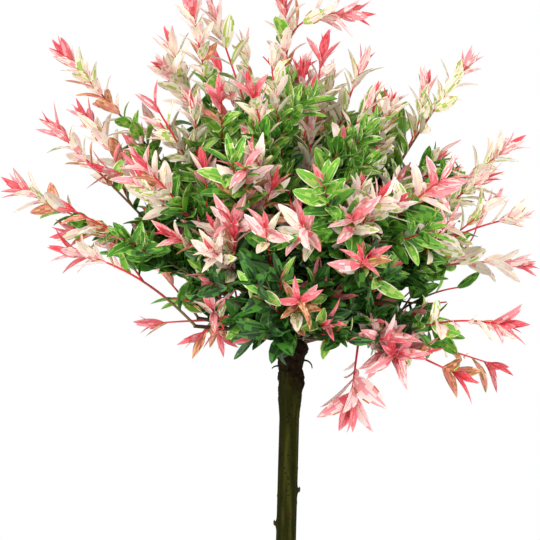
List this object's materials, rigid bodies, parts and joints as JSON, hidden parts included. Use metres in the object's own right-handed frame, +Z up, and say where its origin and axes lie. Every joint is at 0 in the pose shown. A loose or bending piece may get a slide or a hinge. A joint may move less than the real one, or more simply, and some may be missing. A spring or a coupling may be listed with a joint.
{
  "type": "potted dappled willow",
  "caption": "Small willow grown as a standard: a bare slender stem with a round dappled pink, cream and green crown, in a plain round clay pot.",
  "frame": {"origin": "centre of the pot's flat underside, where the plant stands", "axes": "+Z up the stem, +X to the right of the usual view, +Y away from the viewer"},
  "size_m": [0.599, 0.5239, 1.1837],
  "materials": {
    "clay": "unglazed fired clay, matt, a little chalky",
    "compost": "moist, crumbly, matt",
    "bark": "smooth olive green bark with dark breathing pores, satin",
    "young_bark": "thin brown bark, satin",
    "low_leaves": "mostly green leaves with cream edges, satin",
    "middle_leaves": "green and cream leaves, satin",
    "high_leaves": "cream leaves flushed pink, satin",
    "top_leaves": "pink leaves, satin"
  },
  "bodies": {
    "root": {"bough_high_back": "young_bark", "bough_high_front": "young_bark", "bough_high_left": "young_bark", "bough_high_right": "young_bark", "bough_low_back": "young_bark", "bough_low_back_left": "young_bark", "bough_low_back_right": "young_bark", "bough_low_front": "young_bark", "bough_low_front_left": "young_bark", "bough_low_front_right": "young_bark", "bough_middle_back_left": "young_bark", "bough_middle_back_right": "young_bark", "bough_middle_front_left": "young_bark", "bough_middle_front_right": "young_bark", "bough_middle_left": "young_bark", "bough_middle_right": "young_bark", "bough_top_middle": "young_bark", "foliage_high_back": "high_leaves", "foliage_high_front": "high_leaves", "foliage_high_left": "high_leaves", "foliage_high_right": "high_leaves", "foliage_low_back": "low_leaves", "foliage_low_back_left": "low_leaves", "foliage_low_back_right": "low_leaves", "foliage_low_front": "low_leaves", "foliage_low_front_left": "low_leaves", "foliage_low_front_right": "low_leaves", "foliage_middle_back_left": "middle_leaves", "foliage_middle_back_right": "middle_leaves", "foliage_middle_front_left": "middle_leaves", "foliage_middle_front_right": "middle_leaves", "foliage_middle_left": "middle_leaves", "foliage_middle_right": "middle_leaves", "foliage_top_middle": "top_leaves", "pot": "clay", "soil": "compost", "trunk": "bark"}
  },
  "joints": []
}
